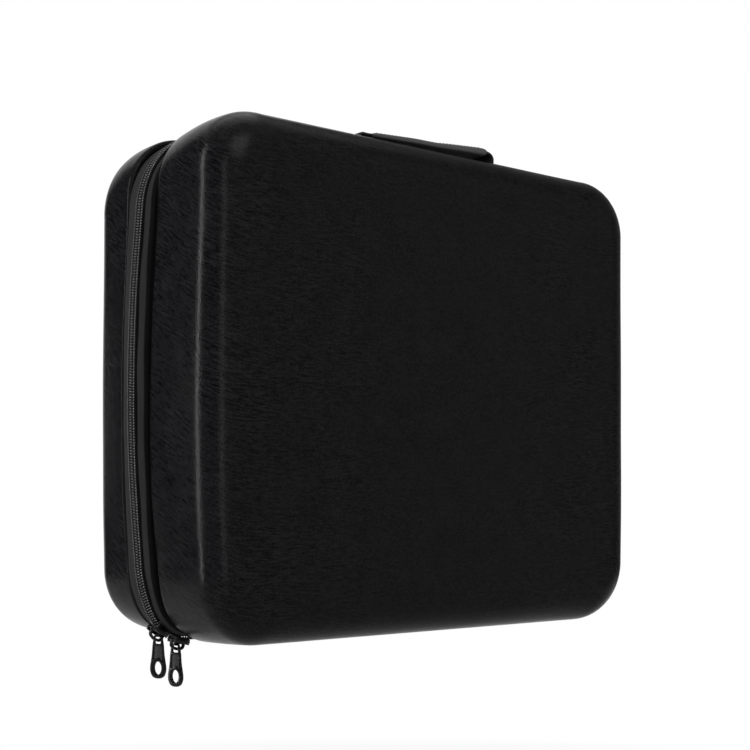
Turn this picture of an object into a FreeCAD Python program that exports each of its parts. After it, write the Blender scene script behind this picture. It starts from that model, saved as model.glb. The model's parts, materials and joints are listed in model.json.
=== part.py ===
"""Hard-shell carrying bag for a home console.

Two moulded shells meet at a coil zip that runs up the left side, over the top and down the
right side. A sewn strip along the bottom is the hinge, and a padded handle is on top.

Millimetres. X is the width, seen from the front; the front faces -Y; +Z is up. The origin is
on the ground, at the middle of the width, on the plane where the two zip rows meet.
"""
import FreeCAD, Part
import math
import os
from types import SimpleNamespace

import Sketcher

# Driving dimensions, in millimetres and degrees.
SIZES = {
    # Shells
    "bag_width": 380.0,
    "bag_height": 330.0,
    "front_depth": 90.0,
    "rear_depth": 68.0,
    "rim_setback": 17.0,
    "wall": 5.0,
    "corner_radius": 42.0,
    "front_edge_radius": 26.0,
    "rear_edge_radius": 20.0,
    "front_inner_bevel": 15.0,
    "rear_inner_bevel": 11.0,
    "rim_bevel": 2.2,
    # Zip: the line of the coil, the tape and the sewn seams
    "zip_standoff": 4.0,
    "zip_floor": 2.0,
    "zip_top_radius": 56.0,
    "zip_bottom_radius": 44.0,
    "chain_gap": 1.7,
    "coil_reach": 5.0,
    "coil_rise": 2.4,
    "coil_bevel": 0.9,
    "tape_depth": 0.3,
    "tape_thickness": 0.8,
    "tape_flat": 8.0,
    "tape_flange": 10.0,
    "seam_gap": 0.3,
    "stitch_gap": 0.1,
    "binding_thickness": 1.0,
    "binding_overlap": 2.0,
    "end_tab_length": 12.0,
    "end_tab_width": 12.0,
    "end_tab_thickness": 0.6,
    # Zip sliders
    "slider_length": 13.0,
    "slider_shoulder": 6.7,
    "slider_tail": 5.7,
    "slider_nose": 4.5,
    "shoulder_length": 2.5,
    "tail_length": 3.5,
    "plate_thickness": 1.5,
    "slider_play": 0.7,
    "lip_width": 1.05,
    "lip_drop": 2.6,
    "wedge_half": 1.3,
    "wedge_tail_half": 0.45,
    "wedge_length": 4.7,
    "wedge_setback": 0.5,
    "bridge_bore": 2.5,
    "bridge_bar": 1.7,
    "bridge_width": 2.4,
    "pivot_rise": 2.9,
    "upper_slider_angle": 56.0,
    "lower_slider_angle": 75.0,
    # Zip pulls
    "pull_thickness": 2.0,
    "pull_bar": 1.0,
    "pull_head_half": 3.3,
    "pull_waist_half": 3.1,
    "pull_waist_drop": 8.5,
    "pull_end_half": 5.9,
    "pull_flare_drop": 18.0,
    "pull_length": 25.5,
    "pull_window_half": 2.5,
    "pull_hole_half": 2.7,
    "pull_hole_top": 14.6,
    "pull_border": 2.2,
    "pull_recess": 0.4,
    "recess_top_half": 1.8,
    "recess_low_half": 2.4,
    "pull_play": 0.6,
    "upper_pull_twist": 35.0,
    "lower_pull_twist": 28.0,
    # Handle
    "slot_span": 62.0,
    "webbing_width": 22.0,
    "webbing_thickness": 2.0,
    "webbing_rise": 9.2,
    "webbing_shoulder": 8.0,
    "foot_length": 26.0,
    "grip_half_length": 50.0,
    "grip_width": 26.0,
    "grip_padding": 2.75,
    "grip_round": 3.2,
    "grip_end_bevel": 1.2,
    "plate_margin": 4.0,
    "backing_thickness": 1.6,
    # Inside
    "strap_width": 38.0,
    "strap_spacing": 170.0,
    "strap_thickness": 1.5,
    "strap_end": 28.0,
    "pocket_depth": 14.0,
    "pocket_height": 208.0,
    "pocket_sheet": 1.0,
    "pocket_seam": 2.6,
    "pocket_corner": 3.0,
    "pocket_band_height": 14.0,
    "pocket_band_thickness": 3.0,
}

SHEET_NAME = "dims"


class Size:
    """A length and the expression over the sheet that gives it."""

    def __init__(self, number, text):
        self.number = number
        self.text = text

    def joined(self, sign, other, number):
        return Size(number, f"({self.text} {sign} {other.text})")

    def __add__(self, other):
        other = as_size(other)
        return self.joined("+", other, self.number + other.number)

    def __sub__(self, other):
        other = as_size(other)
        return self.joined("-", other, self.number - other.number)

    def __mul__(self, other):
        other = as_size(other)
        return self.joined("*", other, self.number * other.number)

    def __truediv__(self, other):
        other = as_size(other)
        return self.joined("/", other, self.number / other.number)

    def __neg__(self):
        return Size(-self.number, f"(0 - {self.text})")


def as_size(value):
    return value if isinstance(value, Size) else Size(float(value), f"({float(value)})")


doc = FreeCAD.newDocument("console_bag")
sheet = doc.addObject("Spreadsheet::Sheet", SHEET_NAME)
for row, (alias, value) in enumerate(SIZES.items(), start=1):
    sheet.set(f"A{row}", alias)
    sheet.set(f"B{row}", str(value))
    sheet.setAlias(f"B{row}", alias)
doc.recompute()
d = SimpleNamespace(**{alias: Size(value, f"{SHEET_NAME}.{alias}") for alias, value in SIZES.items()})
nodes = []


# Sketch and feature helpers

def bind(item, prop, size):
    """Sets one length of an object and ties it to the sheet."""
    size = as_size(size)
    setattr(item, prop, size.number)
    item.setExpression(prop, size.text)


def new_body(label):
    body = doc.addObject("PartDesign::Body", label)
    body.Label = label
    nodes.append(body)
    return body


def new_sketch(body, role, normal_offset=0.0, sideways=0.0):
    """A sketch on one of the body's origin planes, moved along its normal and its own X."""
    plane = next(item for item in body.Origin.OriginFeatures if item.Role == role)
    sketch = body.newObject("Sketcher::SketchObject", f"{body.Label}_sketch")
    sketch.AttachmentSupport = [(plane, "")]
    sketch.MapMode = "FlatFace"
    along = as_size(sideways)
    out = as_size(normal_offset)
    base = FreeCAD.Vector(along.number, 0, out.number)
    sketch.AttachmentOffset = FreeCAD.Placement(base, FreeCAD.Rotation())
    sketch.setExpression(".AttachmentOffset.Base.x", along.text)
    sketch.setExpression(".AttachmentOffset.Base.z", out.text)
    return sketch


def limit(sketch, kind, *items, size):
    """A constraint whose value follows the sheet."""
    index = sketch.addConstraint(Sketcher.Constraint(kind, *items, size.number))
    sketch.setExpression(f"Constraints[{index}]", size.text)


def locate(sketch, geometry, point, across=None, up=None):
    """Fixes a sketch point's coordinates, on an axis where the size is nil."""
    for kind, axis, size in (("DistanceX", -2, across), ("DistanceY", -1, up)):
        if size is None:
            continue
        size = as_size(size)
        if size.number == 0.0:
            sketch.addConstraint(Sketcher.Constraint("PointOnObject", geometry, point, axis))
        else:
            limit(sketch, kind, geometry, point, size=size)


def polygon(sketch, corners):
    """A closed outline of straight edges."""
    corners = [(as_size(across), as_size(up)) for across, up in corners]
    spots = [FreeCAD.Vector(across.number, up.number, 0) for across, up in corners]
    first = sketch.GeometryCount
    for start, end in zip(spots, spots[1:] + spots[:1]):
        sketch.addGeometry(Part.LineSegment(start, end))
    for step, (across, up) in enumerate(corners):
        following = first + (step + 1) % len(corners)
        sketch.addConstraint(Sketcher.Constraint("Coincident", first + step, 2, following, 1))
        locate(sketch, first + step, 1, across, up)


def mirrored_polygon(sketch, right_side):
    """A closed outline, symmetric about the sketch's Y axis, from its right-hand corners."""
    left_side = [(-as_size(across), up) for across, up in reversed(right_side)]
    polygon(sketch, right_side + left_side)


def rounded(sketch, outline):
    """A rounded rectangle about the sketch's Y axis."""
    half, low, high = outline.half.number, outline.low.number, outline.high.number
    small, large = outline.low_radius.number, outline.high_radius.number
    first = sketch.GeometryCount
    axis = FreeCAD.Vector(0, 0, 1)

    def line(x0, y0, x1, y1):
        sketch.addGeometry(Part.LineSegment(FreeCAD.Vector(x0, y0, 0), FreeCAD.Vector(x1, y1, 0)))

    def corner(x, y, radius, quarter):
        circle = Part.Circle(FreeCAD.Vector(x, y, 0), axis, radius)
        start = quarter * math.pi / 2
        sketch.addGeometry(Part.ArcOfCircle(circle, start, start + math.pi / 2))

    line(small - half, low, half - small, low)
    corner(half - small, low + small, small, 3)
    line(half, low + small, half, high - large)
    corner(half - large, high - large, large, 0)
    line(half - large, high, large - half, high)
    corner(large - half, high - large, large, 1)
    line(-half, high - large, -half, low + small)
    corner(small - half, low + small, small, 2)
    for step in range(8):
        after = first + (step + 1) % 8
        sketch.addConstraint(Sketcher.Constraint("Tangent", first + step, 2, after, 1))
    for step, kind in ((0, "Horizontal"), (2, "Vertical"), (4, "Horizontal"), (6, "Vertical")):
        sketch.addConstraint(Sketcher.Constraint(kind, first + step))
    locate(sketch, first, 1, up=outline.low)
    locate(sketch, first + 2, 1, across=outline.half)
    locate(sketch, first + 4, 1, up=outline.high)
    locate(sketch, first + 6, 1, across=-outline.half)
    for step, radius in ((1, outline.low_radius), (3, outline.high_radius),
                         (5, outline.high_radius), (7, outline.low_radius)):
        limit(sketch, "Radius", first + step, size=radius)


def extrude(body, sketch, length, backwards=False, both_ways=False, cut=False):
    """A pad or a pocket of a sketch, along the sketch's normal unless it goes backwards."""
    kind = "PartDesign::Pocket" if cut else "PartDesign::Pad"
    feature = body.newObject(kind, f"{body.Label}_step")
    feature.Profile = sketch
    feature.SideType = "Symmetric" if both_ways else "One side"
    feature.Reversed = backwards != cut
    bind(feature, "Length", length)
    before = body.Shape.Volume if cut else 0.0
    doc.recompute()
    if cut and feature.Shape.Volume > before - 1e-6:
        raise RuntimeError(f"{feature.Name} cuts nothing")
    return feature


def loft(body, sections, cut=False):
    """A ruled skin through outlines, given as (distance in front of the split, outline)."""
    sketches = []
    for forward, outline in sections:
        sketch = new_sketch(body, "XZ_Plane", forward)
        rounded(sketch, outline)
        sketches.append(sketch)
    kind = "PartDesign::SubtractiveLoft" if cut else "PartDesign::AdditiveLoft"
    feature = body.newObject(kind, f"{body.Label}_skin")
    feature.Profile = sketches[0]
    feature.Sections = sketches[1:]
    feature.Ruled = True
    doc.recompute()
    return feature


def edges_where(shape, test):
    """Names of the edges whose points all pass the test."""
    names = []
    for number, edge in enumerate(shape.Edges, start=1):
        middle = edge.valueAt((edge.FirstParameter + edge.LastParameter) / 2)
        spots = [vertex.Point for vertex in edge.Vertexes] + [middle]
        if all(test(spot) for spot in spots):
            names.append(f"Edge{number}")
    return names


def fillet(body, base, test, radius):
    feature = body.newObject("PartDesign::Fillet", f"{body.Label}_round")
    feature.Base = (base, edges_where(base.Shape, test))
    bind(feature, "Radius", radius)
    doc.recompute()
    return feature


def bevel(body, base, test, size):
    feature = body.newObject("PartDesign::Chamfer", f"{body.Label}_bevel")
    feature.Base = (base, edges_where(base.Shape, test))
    bind(feature, "Size", size)
    doc.recompute()
    return feature


def box(label, across, back, up, corner):
    """A plain sheet or strip: three sizes and the place of its lowest corner."""
    item = doc.addObject("Part::Box", label)
    item.Label = label
    for prop, size in zip(("Length", "Width", "Height"), (across, back, up)):
        bind(item, prop, size)
    corner = [as_size(size) for size in corner]
    item.Placement.Base = FreeCAD.Vector(*(size.number for size in corner))
    for axis, size in zip("xyz", corner):
        item.setExpression(f".Placement.Base.{axis}", size.text)
    nodes.append(item)
    return item


def near(value, size):
    return abs(value - as_size(size).number) < 1e-4


# Outlines round the bag, each a rounded rectangle seen from the front

def shell_outline(inset):
    """The rim of both shells, moved inwards."""
    radius = d.corner_radius - inset
    return SimpleNamespace(half=d.bag_width / 2 - inset, low=inset, high=d.bag_height - inset,
                           low_radius=radius, high_radius=radius)


def zip_outline(outward):
    """The line of the zip's coil, moved outwards."""
    return SimpleNamespace(half=d.bag_width / 2 + d.zip_standoff + outward, low=d.zip_floor - outward,
                           high=d.bag_height + d.zip_standoff + outward,
                           low_radius=d.zip_bottom_radius + outward,
                           high_radius=d.zip_top_radius + outward)


zip_end = d.bag_width / 2 + d.zip_standoff - d.zip_bottom_radius
flange_inset = d.wall + d.seam_gap
handle_setback = (d.front_depth + d.rim_setback) / 2
rim_outline = shell_outline(as_size(0.0))


def open_bottom(body):
    """Cuts a ring open along the bottom, between the two ends of the zip."""
    sketch = new_sketch(body, "XZ_Plane")
    mirrored_polygon(sketch, [(zip_end, d.zip_floor - d.zip_bottom_radius),
                              (zip_end, d.zip_floor + d.zip_bottom_radius / 2)])
    return extrude(body, sketch, d.front_depth * 2, both_ways=True, cut=True)


def tray(label, side, depth, edge_radius, inner_bevel):
    """A moulded shell, open towards the zip, with a large outer round and a bevelled rim."""
    body = new_body(label)
    rim = new_sketch(body, "XZ_Plane", d.rim_setback * side)
    rounded(rim, rim_outline)
    extrude(body, rim, depth - d.rim_setback, backwards=side < 0)
    mouth = new_sketch(body, "XZ_Plane", d.rim_setback * side)
    rounded(mouth, shell_outline(d.wall))
    floor = depth - d.wall
    cavity = extrude(body, mouth, floor - d.rim_setback, backwards=side < 0, cut=True)
    inside = bevel(body, cavity, lambda spot: near(spot.y, -floor * side), inner_bevel)
    outside = fillet(body, inside, lambda spot: near(spot.y, -depth * side), edge_radius)
    bevel(body, outside, on_outline(-d.rim_setback * side, rim_outline), d.rim_bevel)
    return body


def handle_slots(body):
    """Two slots through the top wall for the webbing of the handle."""
    slots = new_sketch(body, "XY_Plane", d.bag_height)
    half_slot = d.webbing_thickness / 2 + d.seam_gap
    front_edge = -(handle_setback + d.webbing_width / 2 + d.seam_gap)
    back_edge = -(handle_setback - d.webbing_width / 2 - d.seam_gap)
    for middle in (d.slot_span, -d.slot_span):
        polygon(slots, [(middle - half_slot, front_edge), (middle + half_slot, front_edge),
                        (middle + half_slot, back_edge), (middle - half_slot, back_edge)])
    extrude(body, slots, d.wall * 2, backwards=True, cut=True)


def on_outline(depth, outline):
    """A test for points on one outline at one depth."""
    depth = as_size(depth).number
    half, low, high = outline.half.number, outline.low.number, outline.high.number

    def test(spot):
        if abs(spot.y - depth) > 1e-4:
            return False
        rises = spot.z - low < outline.low_radius.number
        radius = outline.low_radius.number if rises else outline.high_radius.number
        core_z = min(max(spot.z, low + radius), high - radius)
        core_x = min(max(spot.x, radius - half), half - radius)
        return abs(math.hypot(spot.x - core_x, spot.z - core_z) - radius) < 1e-3
    return test


def zip_tape(label, side):
    """Woven tape from one row of coil down into the shell, where it is sewn to the wall."""
    body = new_body(label)
    face = -d.tape_depth
    for deeper, cut in ((as_size(0.0), False), (d.tape_thickness, True)):
        sections = [(d.chain_gap, zip_outline(face - deeper)),
                    (d.tape_flat, zip_outline(face - deeper)),
                    (d.rim_setback + d.stitch_gap, shell_outline(flange_inset + deeper)),
                    (d.rim_setback + d.tape_flange, shell_outline(flange_inset + deeper))]
        loft(body, [(forward * side, outline) for forward, outline in sections], cut=cut)
    open_bottom(body)


def zip_coil(label, side):
    """One row of the coil, a cord with bevelled edges on the outer face of its tape."""
    body = new_body(label)
    sketch = new_sketch(body, "XZ_Plane", d.chain_gap * side)
    crest = zip_outline(d.coil_rise)
    rounded(sketch, crest)
    rounded(sketch, zip_outline(d.stitch_gap - d.tape_depth))
    ring = extrude(body, sketch, d.coil_reach - d.chain_gap, backwards=side < 0)
    inner_edge = on_outline(-d.chain_gap * side, crest)
    outer_edge = on_outline(-d.coil_reach * side, crest)
    bevel(body, ring, lambda spot: inner_edge(spot) or outer_edge(spot), d.coil_bevel)
    open_bottom(body)


def hinge_strip():
    """The sewn strip that joins the shells along the bottom, between the ends of the zip."""
    body = new_body("hinge_strip")
    sketch = new_sketch(body, "YZ_Plane")
    level = d.zip_floor + d.tape_depth
    front_end = d.seam_gap - d.rim_setback
    seam = d.rim_setback + d.stitch_gap
    flange = d.rim_setback + d.tape_flange
    lower = [(front_end, d.wall - d.tape_thickness), (-d.tape_flat, level), (d.tape_flat, level),
             (seam, flange_inset), (flange, flange_inset)]
    upper = [(across, up + d.tape_thickness) for across, up in reversed(lower)]
    polygon(sketch, lower + upper)
    extrude(body, sketch, (zip_end - d.seam_gap) * 2, both_ways=True)


def end_tab(label, side):
    """A folded tab of cloth over the end of the zip, on the hinge strip."""
    inner = zip_end - d.seam_gap - d.end_tab_length
    start = inner if side > 0 else -(inner + d.end_tab_length)
    underside = d.zip_floor + d.tape_depth - d.stitch_gap - d.end_tab_thickness
    box(label, d.end_tab_length, d.end_tab_width, d.end_tab_thickness,
        (start, -d.end_tab_width / 2, underside))


def seam_binding(label, side):
    """Cloth binding over the raw edge of the tape, all round the inside of a rim."""
    body = new_body(label)
    sketch = new_sketch(body, "XZ_Plane", (d.rim_setback + d.seam_gap) * side)
    inset = flange_inset + d.tape_thickness + d.seam_gap
    rounded(sketch, shell_outline(inset))
    rounded(sketch, shell_outline(inset + d.binding_thickness))
    extrude(body, sketch, d.tape_flange + d.binding_overlap, backwards=side < 0)


# Zip sliders and pulls. A slider's own X runs up the zip and its own Z points out of the bag.

plate_low = d.coil_rise + d.slider_play
plate_top = plate_low + d.plate_thickness
pivot_height = plate_top + d.pivot_rise
under_top = -(d.tape_depth + d.tape_thickness + d.slider_play + d.stitch_gap)


def slider_plate(body, height):
    """The outline of a slider's plates: nose, shoulders and a narrower tail."""
    sketch = new_sketch(body, "XY_Plane", height)
    end = d.slider_length / 2
    right = [(-end, d.slider_nose), (d.shoulder_length - end, d.slider_shoulder),
             (end - d.tail_length, d.slider_shoulder), (end, d.slider_tail)]
    left = [(along, -across) for along, across in reversed(right)]
    polygon(sketch, right + left)
    return sketch


def arch(sketch):
    """The bridge over a slider: a half ring on two legs."""
    middle = pivot_height.number
    foot = plate_top.number
    outer = d.bridge_bore + d.bridge_bar
    inner = d.bridge_bore
    axis = FreeCAD.Vector(0, 0, 1)

    def leg(x0, y0, x1, y1):
        sketch.addGeometry(Part.LineSegment(FreeCAD.Vector(x0, y0, 0), FreeCAD.Vector(x1, y1, 0)))

    def half_ring(radius):
        circle = Part.Circle(FreeCAD.Vector(0, middle, 0), axis, radius)
        sketch.addGeometry(Part.ArcOfCircle(circle, 0, math.pi))

    half_ring(outer.number)
    leg(-outer.number, middle, -outer.number, foot)
    leg(-outer.number, foot, -inner.number, foot)
    leg(-inner.number, foot, -inner.number, middle)
    half_ring(inner.number)
    leg(inner.number, middle, inner.number, foot)
    leg(inner.number, foot, outer.number, foot)
    leg(outer.number, foot, outer.number, middle)
    for first, end, second, start in ((0, 2, 1, 1), (3, 2, 4, 2), (4, 1, 5, 1), (7, 2, 0, 1)):
        sketch.addConstraint(Sketcher.Constraint("Tangent", first, end, second, start))
    for first, second in ((1, 2), (2, 3), (5, 6), (6, 7)):
        sketch.addConstraint(Sketcher.Constraint("Coincident", first, 2, second, 1))
    for upright in (1, 3, 5, 7):
        sketch.addConstraint(Sketcher.Constraint("Vertical", upright))
    for ring, radius in ((0, outer), (4, inner)):
        locate(sketch, ring, 3, across=0.0, up=pivot_height)
        limit(sketch, "Radius", ring, size=radius)
    for foot_line in (2, 6):
        locate(sketch, foot_line, 1, up=plate_top)
        sketch.addConstraint(Sketcher.Constraint("Horizontal", foot_line))


def slider(label, angle, turned):
    """A cast slider on the coil: two plates, a wedge between them, side lips and a bridge."""
    body = new_body(label)
    end = d.slider_length / 2
    extrude(body, slider_plate(body, under_top - d.plate_thickness), d.plate_thickness)
    wedge = new_sketch(body, "XY_Plane", under_top)
    nose = d.wedge_setback - end
    polygon(wedge, [(nose, 0.0), (nose + d.wedge_half, -d.wedge_half),
                    (nose + d.wedge_length, -d.wedge_tail_half),
                    (nose + d.wedge_length, d.wedge_tail_half), (nose + d.wedge_half, d.wedge_half)])
    extrude(body, wedge, plate_low - under_top)
    extrude(body, slider_plate(body, plate_low), d.plate_thickness)
    lips = new_sketch(body, "XY_Plane", plate_low)
    inner = d.slider_shoulder - d.lip_width
    for near_edge, far_edge in ((inner, d.slider_shoulder), (-d.slider_shoulder, -inner)):
        polygon(lips, [(d.shoulder_length - end, near_edge), (end - d.tail_length, near_edge),
                       (end - d.tail_length, far_edge), (d.shoulder_length - end, far_edge)])
    extrude(body, lips, d.lip_drop, backwards=True)
    bridge = new_sketch(body, "XZ_Plane")
    arch(bridge)
    extrude(body, bridge, d.bridge_width, both_ways=True)
    body.Placement = slider_place(angle, turned)


def arc_point(angle, outward):
    """A point on the zip's lower left corner, at an angle below level and a distance outwards."""
    radius = d.zip_bottom_radius.number + outward
    centre_z = d.zip_floor.number + d.zip_bottom_radius.number
    turn = math.radians(angle)
    return FreeCAD.Vector(-zip_end.number - radius * math.cos(turn), 0, centre_z - radius * math.sin(turn))


def slider_place(angle, turned):
    lean = FreeCAD.Rotation(FreeCAD.Vector(0, 1, 0), 270.0 - angle)
    half_turn = FreeCAD.Rotation(FreeCAD.Vector(0, 0, 1), 180.0 if turned else 0.0)
    return FreeCAD.Placement(arc_point(angle, 0.0), lean.multiply(half_turn))


def pull(label, angle, twist):
    """A cast tab that hangs from its slider's bridge, with a window, a waist and an oval hole."""
    body = new_body(label)
    sketch = new_sketch(body, "YZ_Plane")
    head = d.pull_bar + d.seam_gap
    mirrored_polygon(sketch, [(d.pull_end_half, -d.pull_length), (d.pull_end_half, -d.pull_flare_drop),
                              (d.pull_waist_half, -d.pull_waist_drop), (d.pull_head_half, head)])
    blank = extrude(body, sketch, d.pull_thickness, both_ways=True)
    tip = fillet(body, blank, lambda spot: near(spot.z, -d.pull_length) and abs(spot.y) > 1.0,
                 d.pull_end_half - d.stitch_gap)
    fillet(body, tip, lambda spot: near(spot.z, head) and abs(spot.y) > 1.0, d.pull_bar)
    window_end = d.bridge_bore + d.bridge_bar + d.pull_play
    window = new_sketch(body, "YZ_Plane")
    mirrored_polygon(window, [(d.pull_window_half, -window_end), (d.pull_window_half, -d.pull_bar)])
    extrude(body, window, d.pull_thickness * 2, both_ways=True, cut=True)
    hole = new_sketch(body, "YZ_Plane")
    round_end = d.pull_hole_half - d.stitch_gap * 2
    rounded(hole, SimpleNamespace(half=d.pull_hole_half, low=d.pull_border - d.pull_length,
                                  high=-d.pull_hole_top, low_radius=round_end, high_radius=round_end))
    extrude(body, hole, d.pull_thickness * 2, both_ways=True, cut=True)
    for side in (1, -1):
        recess = new_sketch(body, "YZ_Plane", d.pull_thickness / 2 * side)
        mirrored_polygon(recess, [(d.recess_low_half, -(d.pull_hole_top - d.pull_border / 2)),
                                  (d.recess_top_half, -(window_end + d.pull_border))])
        extrude(body, recess, d.pull_recess, backwards=side > 0, cut=True)
    turn = FreeCAD.Rotation(FreeCAD.Vector(0, 0, 1), twist)
    body.Placement = FreeCAD.Placement(arc_point(angle, pivot_height.number), turn)


# Handle: webbing through the front shell's top wall, a padded sleeve and a plate inside

def handle_webbing():
    body = new_body("handle_webbing")
    sketch = new_sketch(body, "XZ_Plane", handle_setback)
    half = d.webbing_thickness / 2
    under = d.bag_height - d.wall - d.seam_gap
    top = d.bag_height + d.webbing_rise + half
    bend = d.bag_height + d.webbing_rise / 2
    toe = d.slot_span + d.foot_length
    shoulder = d.slot_span - d.webbing_shoulder
    outer = [(toe, under - d.webbing_thickness), (toe, under), (d.slot_span + half, under),
             (d.slot_span + half, bend), (shoulder, top)]
    inner = [(shoulder - half, top - d.webbing_thickness), (d.slot_span - half, bend - half),
             (d.slot_span - half, under - d.webbing_thickness)]
    left = [(-across, up) for across, up in reversed(outer)]
    left_inner = [(-across, up) for across, up in reversed(inner)]
    polygon(sketch, outer + left + left_inner + inner)
    extrude(body, sketch, d.webbing_width, both_ways=True)


def handle_grip():
    body = new_body("handle_grip")
    sketch = new_sketch(body, "YZ_Plane", sideways=-handle_setback)
    middle = d.bag_height + d.webbing_rise
    half_gap = d.webbing_thickness / 2 + d.seam_gap
    half_height = half_gap + d.grip_padding - d.seam_gap
    radius = d.grip_round
    rounded(sketch, SimpleNamespace(half=d.grip_width / 2, low=middle - half_height,
                                    high=middle + half_height, low_radius=radius, high_radius=radius))
    mirrored_polygon(sketch, [(d.webbing_width / 2 + d.seam_gap, middle - half_gap),
                              (d.webbing_width / 2 + d.seam_gap, middle + half_gap)])
    sleeve = extrude(body, sketch, d.grip_half_length * 2, both_ways=True)

    def outer_end(spot):
        away = max(abs(spot.y + handle_setback.number) - d.webbing_width.number / 2 - d.seam_gap.number,
                   abs(spot.z - middle.number) - half_gap.number)
        return near(abs(spot.x), d.grip_half_length) and away > 1e-3
    bevel(body, sleeve, outer_end, d.grip_end_bevel)


def handle_backing_plate():
    top = d.bag_height - d.wall - d.seam_gap - d.webbing_thickness - d.stitch_gap
    half = d.slot_span + d.foot_length + d.plate_margin
    box("handle_backing_plate", half * 2, d.webbing_width, d.backing_thickness,
        (-half, -(handle_setback + d.webbing_width / 2), top - d.backing_thickness))


# Inside: straps on the rear wall and a net pocket in the front half

def console_straps():
    back = d.rear_depth - d.wall - d.seam_gap - d.strap_thickness
    for label, side in (("console_strap_left", -1), ("console_strap_right", 1)):
        start = d.strap_spacing / 2 * side - d.strap_width / 2
        length = d.bag_height - d.strap_end * 2
        box(label, d.strap_width, d.strap_thickness, length, (start, back, d.strap_end))


def net_pocket():
    body = new_body("pocket_net")
    sketch = new_sketch(body, "XZ_Plane", d.front_depth - d.wall - d.pocket_depth)
    inset = d.wall + d.pocket_seam
    rounded(sketch, SimpleNamespace(half=d.bag_width / 2 - inset, low=inset, high=d.pocket_height,
                                    low_radius=d.corner_radius - inset, high_radius=d.pocket_corner))
    extrude(body, sketch, d.pocket_sheet, backwards=True)
    half = d.bag_width / 2 - inset
    middle = d.front_depth - d.wall - d.pocket_depth - d.pocket_sheet / 2
    box("pocket_band", half * 2, d.pocket_band_thickness, d.pocket_band_height,
        (-half, -(middle + d.pocket_band_thickness / 2), d.pocket_height + d.seam_gap))


def build():
    tray("rear_shell", -1, d.rear_depth, d.rear_edge_radius, d.rear_inner_bevel)
    handle_slots(tray("front_shell", 1, d.front_depth, d.front_edge_radius, d.front_inner_bevel))
    zip_tape("front_zip_tape", 1)
    zip_tape("rear_zip_tape", -1)
    zip_coil("front_zip_coil", 1)
    zip_coil("rear_zip_coil", -1)
    hinge_strip()
    end_tab("zip_end_tab_left", -1)
    end_tab("zip_end_tab_right", 1)
    seam_binding("front_binding", 1)
    seam_binding("rear_binding", -1)
    slider("upper_slider", d.upper_slider_angle.number, turned=False)
    slider("lower_slider", d.lower_slider_angle.number, turned=True)
    pull("upper_pull", d.upper_slider_angle.number, d.upper_pull_twist.number)
    pull("lower_pull", d.lower_slider_angle.number, d.lower_pull_twist.number)
    handle_webbing()
    handle_grip()
    handle_backing_plate()
    console_straps()
    net_pocket()
    doc.recompute()


def check():
    """Every object is sound, and every sub-part is a valid solid."""
    for item in doc.Objects:
        if "Invalid" in item.State or "Error" in item.State:
            raise RuntimeError(f"{item.Label} did not build: {item.State}")
    for item in nodes:
        if item.Shape.isNull() or not item.Shape.isValid() or not item.Shape.Solids:
            raise RuntimeError(f"{item.Label} has no valid solid")


build()
check()
os.makedirs("parts", exist_ok=True)
for item in nodes:
    item.Shape.exportStep(os.path.join("parts", f"{item.Label}.step"))
    bounds = item.Shape.BoundBox
    print(f"{item.Label}: {len(item.Shape.Solids)} solid, {item.Shape.Volume:.0f} mm3, "
          f"x {bounds.XMin:.1f} to {bounds.XMax:.1f}, y {bounds.YMin:.1f} to {bounds.YMax:.1f}, "
          f"z {bounds.ZMin:.1f} to {bounds.ZMax:.1f}")
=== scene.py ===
"""Looks of the console carrying bag: leather shells, coil zip, sliders, handle and lining.

Lengths in the code are millimetres in the part's frame and become metres when a mesh is made.
X is the width, the front faces -Y and Z is up. A wall's "depth" is its distance from the split.
"""
import json
import math

import bmesh
import bpy
import numpy as np
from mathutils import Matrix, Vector, noise

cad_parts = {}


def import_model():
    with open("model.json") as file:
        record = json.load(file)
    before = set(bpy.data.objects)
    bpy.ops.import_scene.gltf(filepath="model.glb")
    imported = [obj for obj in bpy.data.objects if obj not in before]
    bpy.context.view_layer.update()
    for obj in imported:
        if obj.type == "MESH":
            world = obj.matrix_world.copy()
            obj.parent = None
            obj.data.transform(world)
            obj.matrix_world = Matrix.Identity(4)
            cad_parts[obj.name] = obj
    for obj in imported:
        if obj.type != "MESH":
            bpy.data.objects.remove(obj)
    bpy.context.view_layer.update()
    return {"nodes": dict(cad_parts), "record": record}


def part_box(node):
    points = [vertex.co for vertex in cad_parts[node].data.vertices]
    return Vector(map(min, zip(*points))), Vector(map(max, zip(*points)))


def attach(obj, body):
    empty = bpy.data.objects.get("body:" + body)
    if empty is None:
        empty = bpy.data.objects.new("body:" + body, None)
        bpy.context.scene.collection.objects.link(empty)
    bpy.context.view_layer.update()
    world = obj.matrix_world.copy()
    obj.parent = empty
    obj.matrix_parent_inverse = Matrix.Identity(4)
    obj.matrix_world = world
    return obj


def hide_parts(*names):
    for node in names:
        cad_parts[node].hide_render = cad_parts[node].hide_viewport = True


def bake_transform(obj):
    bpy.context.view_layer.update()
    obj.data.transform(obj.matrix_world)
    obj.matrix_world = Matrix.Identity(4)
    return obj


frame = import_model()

MM = 0.001
UP = (0.0, 0.0, 1.0)
BACK = (0.0, 1.0, 0.0)


# Sizes read from the frame, and those of the finish

def corners(node):
    """Lowest and highest corner of a node, in millimetres."""
    low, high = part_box(node)
    return np.array(low) / MM, np.array(high) / MM


joints = {joint["name"]: joint for joint in frame["record"]["behaviour"]["joints"]}


def joint_place(name):
    """A joint's place, in millimetres."""
    return np.array(joints[name]["pos_m"]) / MM


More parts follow.
